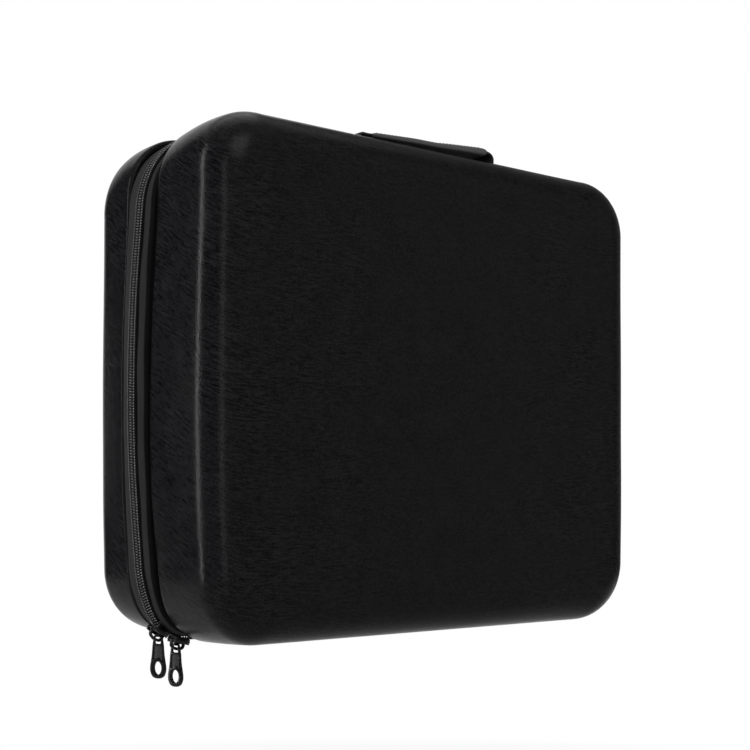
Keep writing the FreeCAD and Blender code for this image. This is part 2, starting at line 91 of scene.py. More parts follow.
shell_low, shell_high = corners("front_shell")
HALF_WIDTH = shell_high[0]
HEIGHT = shell_high[2]
RIM_DEPTH = -shell_high[1]
FRONT_DEPTH = -shell_low[1]
REAR_DEPTH = corners("rear_shell")[1][1]
WALL = 5.0
CORNER_RADIUS = 42.0
FRONT_EDGE = 26.0
REAR_EDGE = 20.0
FACE_CROWN = 2.2

TAPE_LOW, TAPE_HIGH = corners("front_zip_tape")
ZIP_MARGIN = 0.3
ZIP_HALF = TAPE_HIGH[0] + ZIP_MARGIN
ZIP_TOP = TAPE_HIGH[2] + ZIP_MARGIN
ZIP_FLOOR = TAPE_LOW[2] - ZIP_MARGIN
ZIP_TOP_RADIUS = 56.0
ZIP_BOTTOM_RADIUS = 44.0
CORNER_CENTRE = joint_place("upper_slider_travel")

GRIP_LOW, GRIP_HIGH = corners("handle_grip")
GRIP_HALF = (GRIP_HIGH[1] - GRIP_LOW[1]) / 2
HANDLE_Y = (GRIP_LOW[1] + GRIP_HIGH[1]) / 2


# Helpers for lines and meshes

LEVEL_STEPS = 60
SIDE_STEPS = 52
CORNER_STEPS = 24


def unit(rows):
    """Rows of vectors, each scaled to a length of 1."""
    return rows / np.linalg.norm(rows, axis=1)[:, None]


def distances(line):
    """How far along a line each of its points lies."""
    return np.concatenate(([0.0], np.cumsum(np.linalg.norm(np.diff(line, axis=0), axis=1))))


def at_depth(flat, depth):
    """Points in space from flat points (x, z), all at one depth y."""
    return np.column_stack((flat[:, 0], np.full(len(flat), depth), flat[:, 1]))


def full_turn(steps):
    """Even angles of a whole turn."""
    return np.arange(steps) / steps * 2 * math.pi


def evened(values, width=9):
    """A running mean that keeps the length of a row of values."""
    return np.convolve(np.pad(values, width // 2, mode="edge"), np.ones(width) / width, mode="valid")


def looked_up(table, places):
    """Values at some places, read between the rows (place, value) of a table."""
    return np.interp(places, *zip(*table))


def spline(points, steps):
    """A smooth line through points, with the same number of steps between each pair."""
    points = np.asarray(points, float)
    padded = np.vstack((2 * points[0] - points[1], points, 2 * points[-1] - points[-2]))
    line = []
    for index in range(1, len(padded) - 2):
        before, start, end, after = padded[index - 1:index + 3]
        for share in np.arange(steps) / steps:
            line.append(0.5 * (2 * start + (end - before) * share
                               + (2 * before - 5 * start + 4 * end - after) * share ** 2
                               + (3 * start - before - 3 * end + after) * share ** 3))
    line.append(points[-1])
    return np.array(line)


def mirrored(half, flip, steps):
    """A smooth closed outline from one half of it and the factors that flip it into the other."""
    half = np.array(half)
    return spline(np.vstack((half, half[-2:0:-1] * flip, half[:1])), steps)[:-1]


def resample(line, step):
    """Points at an even step along a line, and their unit directions."""
    lengths = distances(line)
    spots = np.arange(step / 2, lengths[-1], step)
    points = np.column_stack([np.interp(spots, lengths, column) for column in line.T])
    return points, unit(np.gradient(points, axis=0))


def dense(line, step=0.8):
    """Extra points on each straight length of a line."""
    pieces = []
    for start, end in zip(line[:-1], line[1:]):
        count = max(int(np.linalg.norm(end - start) / step), 1)
        pieces.append(start + (end - start) * (np.arange(count) / count)[:, None])
    return np.vstack(pieces + [line[-1:]])


def rounded_ring(half, low, high, low_radius, high_radius):
    """Points and outward normals (x, z) of a rounded rectangle, from the left end of its bottom."""
    points = []
    normals = []

    def run(start, end, steps, normal):
        share = np.arange(steps)[:, None] / steps
        points.append(np.array(start) * (1 - share) + np.array(end) * share)
        normals.append(np.tile(np.array(normal, float), (steps, 1)))

    def corner(centre, radius, start):
        turn = math.radians(start) + np.arange(CORNER_STEPS) / CORNER_STEPS * math.pi / 2
        out = np.column_stack((np.cos(turn), np.sin(turn)))
        points.append(np.array(centre) + radius * out)
        normals.append(out)

    small, large = low_radius, high_radius
    run((small - half, low), (half - small, low), LEVEL_STEPS, (0, -1))
    corner((half - small, low + small), small, -90)
    run((half, low + small), (half, high - large), SIDE_STEPS, (1, 0))
    corner((half - large, high - large), large, 0)
    run((half - large, high), (large - half, high), LEVEL_STEPS, (0, 1))
    corner((large - half, high - large), large, 90)
    run((-half, high - large), (-half, low + small), SIDE_STEPS, (-1, 0))
    corner((small - half, low + small), small, 180)
    return np.vstack(points), np.vstack(normals)


def shell_ring(inset, top_slack=0.0):
    """The shells' outline moved in by `inset`, with upper corners that are wider by `top_slack`."""
    radius = max(CORNER_RADIUS - inset, 4.0)
    return rounded_ring(HALF_WIDTH - inset, inset, HEIGHT - inset, radius, radius + top_slack)


def without_bottom(ring):
    """The part of a ring's rows from the right end of its bottom over the top to the left end."""
    return np.vstack((ring[LEVEL_STEPS:], ring[:1]))


def build(name, verts, faces, materials, slots=None, attributes=None):
    """A smooth mesh object from points in millimetres, with its faces turned outwards."""
    mesh = bpy.data.meshes.new(name)
    mesh.from_pydata((np.asarray(verts, float) * MM).tolist(), [], [list(map(int, face)) for face in faces])
    for key, values in (attributes or {}).items():
        data = mesh.attributes.new(key, "FLOAT_VECTOR", "POINT")
        data.data.foreach_set("vector", (np.asarray(values, float) * MM).ravel())
    for item in materials:
        mesh.materials.append(item)
    if slots is not None:
        mesh.polygons.foreach_set("material_index", np.asarray(slots, np.int32))
    work = bmesh.new()
    work.from_mesh(mesh)
    bmesh.ops.recalc_face_normals(work, faces=work.faces)
    work.to_mesh(mesh)
    work.free()
    mesh.polygons.foreach_set("use_smooth", [True] * len(mesh.polygons))
    piece = bpy.data.objects.new(name, mesh)
    bpy.context.scene.collection.objects.link(piece)
    return piece


def dress(piece, node, body=None):
    """Let a piece stand for a node, and ride on a body if one is given."""
    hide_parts(node)
    if body:
        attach(piece, body)


def grid_faces(rows, columns, close_rows=False, close_columns=False):
    """Quads of a grid whose points are stored row by row."""
    faces = []
    for row in range(rows if close_rows else rows - 1):
        after = (row + 1) % rows
        for column in range(columns if close_columns else columns - 1):
            beside = (column + 1) % columns
            faces.append((row * columns + column, row * columns + beside,
                          after * columns + beside, after * columns + column))
    return faces


def end_caps(rows, columns):
    """The faces that close the first and the last row of a grid."""
    return [tuple(range(columns)), tuple(range((rows - 1) * columns, rows * columns))]


def tube(path, radii, sides):
    """A capped tube along a short path: points and faces."""
    path = np.asarray(path, float)
    along = unit(np.gradient(path, axis=0))
    first = np.cross(along, (1.0, 0.0, 0.0))
    weak = np.linalg.norm(first, axis=1) < 0.3
    first[weak] = np.cross(along[weak], BACK)
    first = unit(first)
    second = np.cross(along, first)
    turn = full_turn(sides)
    radii = np.broadcast_to(radii, len(path))[:, None, None]
    ring = first[:, None] * np.cos(turn)[None, :, None] + second[:, None] * np.sin(turn)[None, :, None]
    points = path[:, None] + ring * radii
    first_cap, last_cap = end_caps(len(path), sides)
    faces = grid_faces(len(path), sides, close_columns=True) + [first_cap[::-1], last_cap]
    return points.reshape(-1, 3), faces


def repeat(points, faces, origins, axes):
    """Copies of a small form, one at each origin, turned to its three axes."""
    copies = origins[:, None] + np.einsum("pk,tkj->tpj", points, axes)
    count = len(points)
    spread = [[index + turn * count for index in face] for turn in range(len(origins)) for face in faces]
    return copies.reshape(-1, 3), spread


def join(forms):
    """Several (points, faces) in one."""
    verts = []
    faces = []
    for points, polygons in forms:
        start = sum(len(group) for group in verts)
        verts.append(points)
        faces += [[index + start for index in polygon] for polygon in polygons]
    return np.vstack(verts), faces


def strip(name, path, ups, section, material, closed=False):
    """A band of one section swept along a path: section points are (across, up)."""
    path = np.asarray(path, float)
    ups = np.broadcast_to(ups, path.shape)
    along = np.roll(path, -1, axis=0) - np.roll(path, 1, axis=0) if closed else np.gradient(path, axis=0)
    across = unit(np.cross(unit(along), ups))
    section = np.asarray(section, float)
    verts = path[:, None] + across[:, None] * section[None, :, :1] + ups[:, None] * section[None, :, 1:]
    weave = np.empty_like(verts)
    weave[..., 0] = distances(path)[:, None]
    weave[..., 1:] = section
    faces = grid_faces(len(path), len(section), close_rows=closed, close_columns=True)
    if not closed:
        faces += end_caps(len(path), len(section))
    return build(name, verts.reshape(-1, 3), faces, [material], attributes={"weave": weave.reshape(-1, 3)})


SELVEDGE = 1.2


def flat_section(width, thickness, columns=14):
    """The section of a woven strap: flat faces and rounded selvedges."""
    half = width / 2
    places = np.concatenate((np.linspace(-half, -half + SELVEDGE, 4),
                             np.linspace(-half + 3, half - 3, columns),
                             np.linspace(half - SELVEDGE, half, 4)))
    top = [(across, thickness / 2 * min(1.0, 0.35 + (half - abs(across)) / SELVEDGE)) for across in places]
    return top + [(across, -up) for across, up in reversed(top)]


# Materials

class Graph:
    """The nodes of a material or of the world: node() adds one and links or sets its inputs."""

    def __init__(self, owner):
        self.owner = owner
        owner.use_nodes = True
        self.tree = owner.node_tree
        self.tree.nodes.clear()

    def node(self, kind, inputs=None, output=0, **settings):
        item = self.tree.nodes.new(f"ShaderNode{kind}")
        for key, value in settings.items():
            setattr(item, key, value)
        for key, value in (inputs or {}).items():
            if isinstance(value, bpy.types.NodeSocket):
                self.tree.links.new(value, item.inputs[key])
            else:
                item.inputs[key].default_value = value
        return item.outputs[output] if item.outputs else None

    def math(self, operation, first, second=0.5, third=0.5):
        return self.node("Math", {0: first, 1: second, 2: third}, operation=operation)

    def object_place(self):
        return self.node("TexCoord", output="Object")

    def attribute(self, name, axis):
        """One axis of a piece's own coordinates."""
        vector = self.node("Attribute", attribute_name=name, output="Vector")
        return self.node("SeparateXYZ", {0: vector}, output=axis)

    def stretched(self, vector, scale, turn=(0.0, 0.0, 0.0)):
        """Coordinates turned first, then scaled along the turned axes."""
        turned = self.node("Mapping", {"Vector": vector, "Rotation": turn})
        return self.node("Mapping", {"Vector": turned, "Scale": scale})

    def noise(self, vector, scale, detail=3.0, roughness=0.5, distortion=0.0):
        return self.node("TexNoise", {"Vector": vector, "Scale": scale, "Detail": detail,
                                      "Roughness": roughness, "Distortion": distortion})

    def ramp(self, value, low, high, out_low=0.0, out_high=1.0):
        return self.node("MapRange", {"Value": value, "From Min": low, "From Max": high,
                                      "To Min": out_low, "To Max": out_high})

    def blend(self, share, dark, light):
        return self.node("Mix", {0: share, 6: (*dark, 1.0), 7: (*light, 1.0)}, data_type="RGBA", output=2)

    def bump(self, height, distance, normal=None):
        inputs = {"Height": height, "Distance": distance, "Strength": 1.0}
        if normal is not None:
            inputs["Normal"] = normal
        return self.node("Bump", inputs)

    def finish(self, colour, roughness, normal, specular, **others):
        """The owner, with a shader of these inputs; `others` are by the names of their sockets."""
        inputs = {"Base Color": colour, "Roughness": roughness, "Normal": normal,
                  "Specular IOR Level": specular, **others}
        return self.surface(self.node("BsdfPrincipled", inputs))

    def surface(self, shader):
        """The owner, with a shader on its surface."""
        self.node("OutputMaterial", {"Surface": shader})
        return self.owner


def material(name):
    """The empty graph of a new material."""
    return Graph(bpy.data.materials.new(name))


def grey(level, blue=None):
    """A grey, or a tint with its own level of blue."""
    return level, level, level if blue is None else blue


def leather(name, dark, light, roughness, grain, wrinkle):
    """Coated leather: fine pebbles, a cloudy sheen, and creases that lie at a slant on the sides."""
    g = material(name)
    place = g.object_place()
    cells = g.node("TexVoronoi", {"Vector": place, "Scale": 760.0, "Randomness": 1.0}, feature="SMOOTH_F1")
    fine = g.noise(place, 1100.0, 3.0, 0.6)
    pebbles = g.math("MULTIPLY_ADD", cells, -1.0, fine)
    turned = g.stretched(place, (150.0, 110.0, 1250.0), (math.radians(-28.0), 0.0, 0.0))
    creases = g.noise(turned, 1.0, 2.0, 0.5, 0.4)
    width = g.math("ABSOLUTE", g.node("SeparateXYZ", {0: place}, output="X"))
    near_side = g.ramp(width, 0.02, 0.17, 0.25, 1.0)
    patches = g.ramp(g.noise(place, 30.0, 2.0), 0.3, 0.65, 0.35, 1.0)
    depth = g.math("MULTIPLY", patches, near_side)
    soft = g.bump(g.noise(place, 34.0, 2.0), 0.00025)
    lined = g.bump(g.math("MULTIPLY", creases, depth), wrinkle, soft)
    normal = g.bump(pebbles, grain, lined)
    cloud = g.noise(place, 45.0, 5.0, 0.65)
    gloss = g.math("MULTIPLY_ADD", pebbles, -0.25, cloud)
    rough = g.ramp(gloss, 0.2, 0.9, roughness - 0.07, roughness + 0.09)
    lines = g.math("MULTIPLY", g.ramp(creases, 0.38, 0.62, -0.4, 0.4), depth)
    grains = g.ramp(pebbles, -0.1, 0.35)
    tone = g.math("MULTIPLY_ADD", grains, 0.4, g.math("MULTIPLY_ADD", cloud, 0.5, lines))
    return g.finish(g.blend(tone, dark, light), rough, normal, 0.03)


# Softness of the edges of the painted shade on the tapes, in metres.
PAINTED_SHADE_FADE = 0.0008


def woven(name, dark, light, along_pitch, across_pitch, depth, pale=None):
    """Woven tape: threads along and across it, from the piece's own woven coordinates in metres.

    `pale` is the part of the width, from and to, also in metres, that keeps its tone; outside it the tape is
    darkened with painted shade, under the coil and down in the fold at the rim.
    """
    g = material(name)
    along = g.attribute("weave", "X")
    across = g.attribute("weave", "Y")
    warp = g.math("SINE", g.math("MULTIPLY", along, 2 * math.pi / along_pitch))
    weft = g.math("SINE", g.math("MULTIPLY", across, 2 * math.pi / across_pitch))
    checks = g.math("MULTIPLY", warp, weft)
    ribs = g.math("MULTIPLY_ADD", g.math("ABSOLUTE", weft), 0.5, checks)
    fuzz = g.noise(g.object_place(), 1600.0, 3.0)
    height = g.math("MULTIPLY_ADD", fuzz, 0.6, ribs)
    wear = g.noise(g.object_place(), 60.0, 3.0)
    tone = g.math("MULTIPLY_ADD", wear, 0.5, g.ramp(height, -0.8, 1.6))
    # Painted shade: outside the pale band the tape is darkened, under the coil and down in the fold beside
    # the rim.
    if pale is not None:
        start, end = pale
        painted_light_mask = g.math("MULTIPLY", g.ramp(across, start, start + PAINTED_SHADE_FADE),
                        g.ramp(across, end, end + PAINTED_SHADE_FADE, 1.0, 0.0))
        tone = g.math("MULTIPLY", tone, painted_light_mask)
    return g.finish(g.blend(tone, dark, light), 0.75, g.bump(height, depth), 0.05)


def lining_cloth(name, dark, light):
    """Brushed lining: short pile with a faint diagonal knit."""
    g = material(name)
    place = g.object_place()
    pile = g.noise(place, 1300.0, 4.0, 0.7)
    slanted = g.stretched(place, (240.0, 240.0, 700.0), (0.0, math.radians(45.0), 0.0))
    height = g.math("MULTIPLY_ADD", g.noise(slanted, 1.0, 2.0), 0.8, pile)
    nap = g.noise(place, 22.0, 4.0)
    tone = g.math("MULTIPLY_ADD", nap, 0.6, g.ramp(height, 0.5, 1.4, 0.0, 0.4))
    return g.finish(g.blend(tone, dark, light), 0.9, g.bump(height, 0.00035), 0.2,
                    **{"Sheen Weight": 0.15, "Sheen Roughness": 0.4})


def plated_metal(name, dark, light):
    """Black plated casting: a gloss with faint orange peel and handling marks."""
    g = material(name)
    place = g.object_place()
    peel = g.noise(place, 900.0, 2.0)
    marks = g.noise(g.stretched(place, (500.0, 500.0, 2600.0)), 1.0, 4.0, 0.7)
    rough = g.ramp(marks, 0.35, 0.75, 0.2, 0.36)
    colour = g.blend(g.ramp(marks, 0.5, 0.85), dark, light)
    return g.finish(colour, rough, g.bump(peel, 0.00006), 0.3, Metallic=0.6)


DRAW_LINES = 0.00002


def nylon(name, dark, light, roughness, specular=0.5):
    """Moulded or drawn nylon: faint draw lines and a soft gloss."""
    g = material(name)
    place = g.object_place()
    lines = g.noise(place, 2400.0, 3.0, 0.6)
    tone = g.noise(place, 90.0, 3.0)
    colour = g.blend(g.ramp(tone, 0.3, 0.7), dark, light)
    rough = g.ramp(lines, 0.3, 0.7, roughness - 0.06, roughness + 0.1)
    return g.finish(colour, rough, g.bump(lines, DRAW_LINES), specular)


def coil_nylon_painted_glints(name, dark, light):
    """Drawn nylon of the coil, with painted glints: the crest of each turn is painted pale at its shoulder
    and its head.

    The piece's own "turn" coordinates hold how far a point faces up, and its place across the coil.
    """
    g = material(name)
    across = g.attribute("turn", "Y")
    crest = g.ramp(g.attribute("turn", "X"), 0.00062, 0.00095)
    shoulder = g.math("MULTIPLY", g.ramp(across, 0.0029, 0.0034), g.ramp(across, 0.0038, 0.0044, 1.0, 0.0))
    head = g.ramp(across, 0.0008, 0.0014, 1.0, 0.0)
    uneven = g.ramp(g.noise(g.object_place(), 700.0, 2.0), 0.3, 0.7, 0.45, 1.0)
    # Painted highlight: the pale crests stand in for the glints of the turns.
    painted_light_mask = g.math("MULTIPLY", g.math("MULTIPLY", crest, uneven), g.math("MAXIMUM", shoulder, head))
    lines = g.noise(g.object_place(), 2400.0, 3.0, 0.6)
    rough = g.ramp(lines, 0.3, 0.7, 0.18, 0.34)
    return g.finish(g.blend(painted_light_mask, dark, light), rough, g.bump(lines, DRAW_LINES), 0.08)


def thread(name, dark, light):
    """Twisted sewing thread."""
    g = material(name)
    twist = g.noise(g.object_place(), 1500.0, 2.0)
    colour = g.blend(g.ramp(twist, 0.35, 0.65), dark, light)
    return g.finish(colour, 0.6, g.bump(twist, 0.00012), 0.35)


TAPE_WEAVE = (0.0011, 0.0008, 0.00016)

SHELL = leather("shell_leather", grey(0.002, 0.0024), grey(0.0108, 0.0116), 0.21, 0.00005, 0.00017)
GRIP = leather("grip_leather", grey(0.06, 0.061), grey(0.09, 0.092), 0.42, 0.00007, 0.0001)
TAPE = woven("tape_weave", grey(0.009), grey(0.03, 0.031), *TAPE_WEAVE)
# The tapes are darkened with painted shade outside the pale part of their width.
FRONT_TAPE = woven("front_tape_weave", grey(0.001), grey(0.02, 0.0204), *TAPE_WEAVE,
                   pale=(0.0048, 0.0098))
REAR_TAPE = woven("rear_tape_weave", grey(0.001), grey(0.022, 0.0224), *TAPE_WEAVE,
                  pale=(0.0048, 0.019))
BINDING = woven("binding_weave", grey(0.008), grey(0.022), 0.0013, 0.0011, 0.0002)
WEBBING = woven("webbing_weave", grey(0.006), grey(0.02), 0.0022, 0.0015, 0.0003)
LINING = lining_cloth("lining_cloth", grey(0.02, 0.021), grey(0.035, 0.037))
METAL = plated_metal("black_plating", grey(0.004, 0.0042), grey(0.012, 0.0125))
PANEL = nylon("pull_panel_enamel", grey(0.007, 0.0072), grey(0.011, 0.0113), 0.5, 0.2)
# The pale grey is the painted highlight on the crests of the coil's turns.
COIL = coil_nylon_painted_glints("coil_nylon_painted_glints", grey(0.001), grey(0.24))
PLATE = nylon("stiffener_plastic", grey(0.02, 0.021), grey(0.03, 0.031), 0.45)
NET = nylon("net_yarn", grey(0.012), grey(0.02), 0.5)
THREAD = thread("seam_thread", grey(0.012), grey(0.03))


# Moulded shells

FLOOR_STEPS = 10
FACE_STEPS = 34
INNERMOST = 0.02
WALL_STEPS = 14
INNER_STEPS = 6
EDGE_STEPS = 16
RIM_STEPS = 12
INNER_RADIUS = 17.0
RIM_RADIUS = WALL / 2
WALL_SWELL = 0.7
CORNER_SWELL = 2.4
RIM_SHIFT = ((20.0, 0.0), (34.0, -1.4), (56.0, 0.4), (76.0, 3.0), (110.0, 4.2), (152.0, 4.6), (203.0, 3.4),
             (245.0, 1.2), (268.0, 0.0), (298.0, -0.6))


def quarter(steps):
    """Even angles of a quarter turn, with both ends."""
    return np.linspace(0.0, math.pi / 2, steps + 1)


def tray_profile(depth, edge):
    """(inset, depth, inside?) of each ring, from the edge of the inner floor to the outer face."""
    floor_depth = depth - WALL
    inner_end = floor_depth - INNER_RADIUS
    rows = []
    for turn in quarter(INNER_STEPS):
        rows.append((WALL + INNER_RADIUS * (1 - math.sin(turn)),
                     floor_depth - INNER_RADIUS * (1 - math.cos(turn)), True))
    mouth = RIM_DEPTH + RIM_RADIUS
    for step in range(1, INNER_STEPS + 1):
        rows.append((WALL, inner_end + (mouth - inner_end) * step / INNER_STEPS, True))
    for turn in np.linspace(0.0, math.pi, RIM_STEPS + 1)[1:]:
        rows.append((RIM_RADIUS + RIM_RADIUS * math.cos(turn), mouth - RIM_RADIUS * math.sin(turn), False))
    start = depth - edge
    for step in range(1, WALL_STEPS + 1):
        rows.append((0.0, mouth + (start - mouth) * step / WALL_STEPS, False))
    for turn in quarter(EDGE_STEPS)[1:]:
        rows.append((edge * (1 - math.cos(turn)), start + edge * math.sin(turn), False))
    return rows


def waviness(points, size, height):
    """Slow unevenness of foam under leather, in millimetres."""
    return np.array([noise.noise(Vector(point) / size) * height for point in points])


def outer_swell(ring, normals, share, rim_share, sag, bulge):
    """How far each point of an outer ring stands off the plain outline.

    `share` runs from 0 at the rim to 1 at the face. `rim_share` is 1 on the outside of the rolled rim
    and falls to 0 on its inside.
    """
    down = np.clip(-normals[:, 1], 0.0, 1.0) ** 2
    sideways = bulge * evened(looked_up(RIM_SHIFT, ring[:, 1])) * np.abs(normals[:, 0])
    corner = np.clip(normals[:, 1], 0.0, 1.0) * np.abs(normals[:, 0]) * 2
    soft = (WALL_SWELL + CORNER_SWELL * corner) * math.sin(math.pi * share)
    return soft + (sag * down + sideways) * (1 - share) * rim_share


def shell_rows(depth, edge, lean, sag, bulge, slack):
    """(points, depth, inside?) of each ring, from the middle of the inner floor to that of the face."""
    profile = tray_profile(depth, edge)
    centre = np.array((0.0, HEIGHT / 2))
    floor_inset, floor_depth, _ = profile[0]
    floor_ring = shell_ring(floor_inset + lean, slack)[0]
    rows = []
    for share in np.linspace(INNERMOST, 1.0, FLOOR_STEPS)[:-1]:
        rows.append((centre + (floor_ring - centre) * share, floor_depth, True))
    for inset, deep, lined in profile:
        share = min(max((deep - RIM_DEPTH) / (depth - RIM_DEPTH), 0.0), 1.0)
        flat, normals = shell_ring(inset + lean * share, slack * share)
        if not lined:
            rim_share = 1 - min(inset / WALL, 1.0) if deep < RIM_DEPTH + WALL else 1.0
            flat = flat + normals * outer_swell(flat, normals, share, rim_share, sag, bulge)[:, None]
        rows.append((flat, deep, lined))
    face_ring = shell_ring(profile[-1][0] + lean, slack)[0]
    for share in np.linspace(1.0, INNERMOST, FACE_STEPS)[1:]:
        crowned = depth + FACE_CROWN * (1 - share ** 2) ** 2
        rows.append((centre + (face_ring - centre) * share, crowned, False))
    return rows


def moulded_shell(half, side, depth, edge, lean, sag, bulge, slack):
    """One half of the bag: leather over foam outside, lining inside, a rolled rim between.

    The walls lean in by `lean` towards the face, the bottom sags by `sag` at the rim, and the rim's
    sides stray by `bulge` times RIM_SHIFT. The upper corners widen by `slack` towards the face.
    """
    rows = shell_rows(depth, edge, lean, sag, bulge, slack)
    verts = np.vstack([at_depth(flat, side * deep) for flat, deep, _ in rows])
    inside = np.array([lined for *_, lined in rows])
    count = len(rows[0][0])
    outer = np.repeat(~inside, count)
    verts[outer, 1] += side * waviness(verts[outer], size=70.0, height=0.5)
    faces = grid_faces(len(rows), count, close_columns=True) + end_caps(len(rows), count)
    slots = np.concatenate((np.repeat(inside[:-1] & inside[1:], count), (True, False)))
    piece = build(f"{half}_shell_skin", verts, faces, [SHELL, LINING], slots)
    dress(piece, f"{half}_shell", f"{half}_half")


# Zip

ZIP_SHIFT = ((2.0, 2.6), (3.5, 3.6), (5.0, 4.1), (9.5, 3.7), (17.0, 0.4), (26.0, -2.2), (34.0, -3.0),
             (46.0, -2.4), (55.0, -1.3), (76.0, 0.3), (100.0, 2.0), (127.0, 3.2), (165.0, 3.5), (203.0, 2.5),
             (235.0, 0.8), (268.0, -2.2), (289.0, -4.2), (300.0, -4.4), (313.0, -4.5), (334.0, -4.5))
SEAM_INSET = 5.3


def zip_line():
    """Points (x, z) and outward normals along the zip, from its right end over the top to its left end.

    The soft zip strays from its sewn line: out at half height, in at the corners.
    """
    ring, normals = rounded_ring(ZIP_HALF, ZIP_FLOOR, ZIP_TOP, ZIP_BOTTOM_RADIUS, ZIP_TOP_RADIUS)
    line = without_bottom(ring)
    out = without_bottom(normals)
    shift = evened(looked_up(ZIP_SHIFT, line[:, 1]))
    return line + out * shift[:, None], out


# Rows of a tape's outer face: distance from the zip's middle, share of the way to the seam, and lift
TAPE_SECTION = {
    "front": [(1.0, 0.0, -0.35), (5.4, 0.0, -0.4), (8.0, 0.07, -0.3), (10.6, 0.2, 0.0), (12.2, 0.42, 0.0),
              (13.2, 0.75, -0.4), (14.4, 1.0, -1.2), (16.8, 1.0, -1.2), (19.0, 1.0, 0.0), (27.0, 1.0, 0.0)],
    "rear": [(1.0, 0.0, -0.35), (5.4, 0.0, -0.4), (8.0, 0.04, -0.3), (11.0, 0.1, 0.0), (13.6, 0.17, 0.0),
             (15.6, 0.23, 0.0), (17.0, 0.3, 0.0), (18.4, 0.5, 0.0), (20.0, 0.85, 0.0), (22.0, 1.0, 0.0),
             (27.0, 1.0, 0.0)],
}
TAPE_THICKNESS = 0.8
RIPPLE = 0.25
RIPPLE_LENGTH = 9.0
RIPPLE_SLANT = 0.3
RIPPLE_WIDTH = 18.0


def zip_tape(half, side, material):
    """Woven tape from the coil, over the soft slope beside it, and down behind the rim."""
    line, out = zip_line()
    seam = without_bottom(shell_ring(SEAM_INSET)[0])
    run = distances(line)
    count = len(line)
    outer_face = [(*row, 0.0) for row in TAPE_SECTION[half]]
    inner_face = [(*row, TAPE_THICKNESS) for row in TAPE_SECTION[half][::-1]]
    rows = []
    weave = []
    for width, share, lift, under in outer_face + inner_face:
        flat = line * (1 - share) + seam * share
        strength = RIPPLE * math.sin(math.pi * min(width / RIPPLE_WIDTH, 1.0))
        ripple = strength * np.sin(run / RIPPLE_LENGTH + RIPPLE_SLANT * width)
        rows.append(at_depth(flat + out * (lift - under + ripple)[:, None], side * width))
        weave.append(np.column_stack((run, np.full(count, width), np.full(count, under))))
    faces = grid_faces(len(rows), count, close_rows=True)
    faces += [tuple(row * count + end for row in range(len(rows))) for end in (0, count - 1)]
    piece = build(f"{half}_tape", np.vstack(rows), faces, [material], attributes={"weave": np.vstack(weave)})
    dress(piece, f"{half}_zip_tape")
    return piece


# Points of one turn (along the zip, across it, outwards), from its root to its head
COIL_TURN = [(-0.5, 4.6, 0.0), (-0.45, 4.9, 0.3), (-0.36, 4.6, 0.7), (-0.24, 3.8, 1.0), (0.0, 2.7, 1.15),
             (0.16, 1.7, 1.1), (0.27, 0.9, 0.85), (0.3, 0.6, 0.3)]
COIL_RADII = (0.42, 0.48, 0.54, 0.58, 0.58, 0.58, 0.54, 0.45)
COIL_PITCH = 1.8
COIL_FLATNESS = 0.62
COIL_SIDES = 8


def zip_coil(half, side):
    """One row of the coil: a slanted turn of nylon at every pitch, half a pitch on from the other row's."""
    points, along = resample(np.column_stack(zip_line()), COIL_PITCH)
    tangent = at_depth(unit(along[:, :2]), 0.0)
    outward = unit(at_depth(points[:, 2:], 0.0))
    across = np.tile((0.0, float(side), 0.0), (len(points), 1))
    shift = 0.0 if side > 0 else COIL_PITCH / 2
    origins = at_depth(points, 0.0) + tangent * shift
    flattened = np.array((1.0, 1.0, COIL_FLATNESS))
    turn, faces = tube(COIL_TURN / flattened, np.array(COIL_RADII), COIL_SIDES)
    turn = turn * flattened
    # How far each point faces up, and its place across the coil: these place the coil's painted glints.
    facing = np.tile(np.cos(full_turn(COIL_SIDES)), len(COIL_TURN))
    marks = np.column_stack((facing, turn[:, 1], np.zeros(len(turn))))
    verts, faces = repeat(turn, faces, origins, np.stack((tangent, across, outward), axis=1))
    piece = build(f"{half}_coil", verts, faces, [COIL], attributes={"turn": np.tile(marks, (len(points), 1))})
    dress(piece, f"{half}_zip_coil")
    return piece


STITCH = [(-1.5, 0.0, -0.25), (-1.1, 0.0, 0.16), (0.0, 0.0, 0.26), (1.1, 0.0, 0.16), (1.5, 0.0, -0.25)]
STITCH_PITCH = 4.0
THREAD_RADIUS = 0.26


def stitches(name, line, normals, pitch, body):
    """A row of thread stitches along a line of points in space, standing on its surface."""
    points, along = resample(np.column_stack((line, np.broadcast_to(normals, line.shape))), pitch)
    tangent = unit(along[:, :3])
    up = unit(points[:, 3:])
    across = np.cross(up, tangent)
    form, faces = tube(STITCH, THREAD_RADIUS, 5)
    verts, faces = repeat(form * (pitch / STITCH_PITCH, 1.0, 1.0), faces, points[:, :3],
                          np.stack((tangent, across, up), axis=1))
    piece = build(name, verts, faces, [THREAD])
    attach(piece, body)


BINDING_THICKNESS = 1.2
BINDING_SEAM = 4.2
BINDING_PITCH = 4.2
BINDING_STITCH_LIFT = 0.62


def rim_binding(half, side):
    """Ribbed binding sewn over the raw edge of the tape, round the inside of a rim."""
    name = f"{half}_rim_binding"
    low, high = corners(f"{half}_binding")
    ring, normals = shell_ring(HALF_WIDTH - high[0] + 0.5)
    path = at_depth(ring, side * (abs(low[1]) + abs(high[1])) / 2)
    ups = -at_depth(normals, 0.0)
    section = flat_section(abs(high[1] - low[1]), BINDING_THICKNESS)
    piece = strip(name, path, ups, section, BINDING, closed=True)
    dress(piece, f"{half}_binding", f"{half}_half")
    for row, shift in (("near", -BINDING_SEAM), ("far", BINDING_SEAM)):
        line = path + np.array((0.0, side * shift, 0.0)) + ups * BINDING_STITCH_LIFT
        stitches(f"{name}_stitches_{row}", np.vstack((line, line[:1])), np.vstack((ups, ups[:1])),
                 BINDING_PITCH, f"{half}_half")


# Sliders and pulls

def oval(half_width, low, high):
    """An oval outline between two heights."""
    turn = full_turn(28)
    middle = (low + high) / 2
    return np.column_stack((half_width * np.cos(turn), middle + (high - low) / 2 * np.sin(turn)))


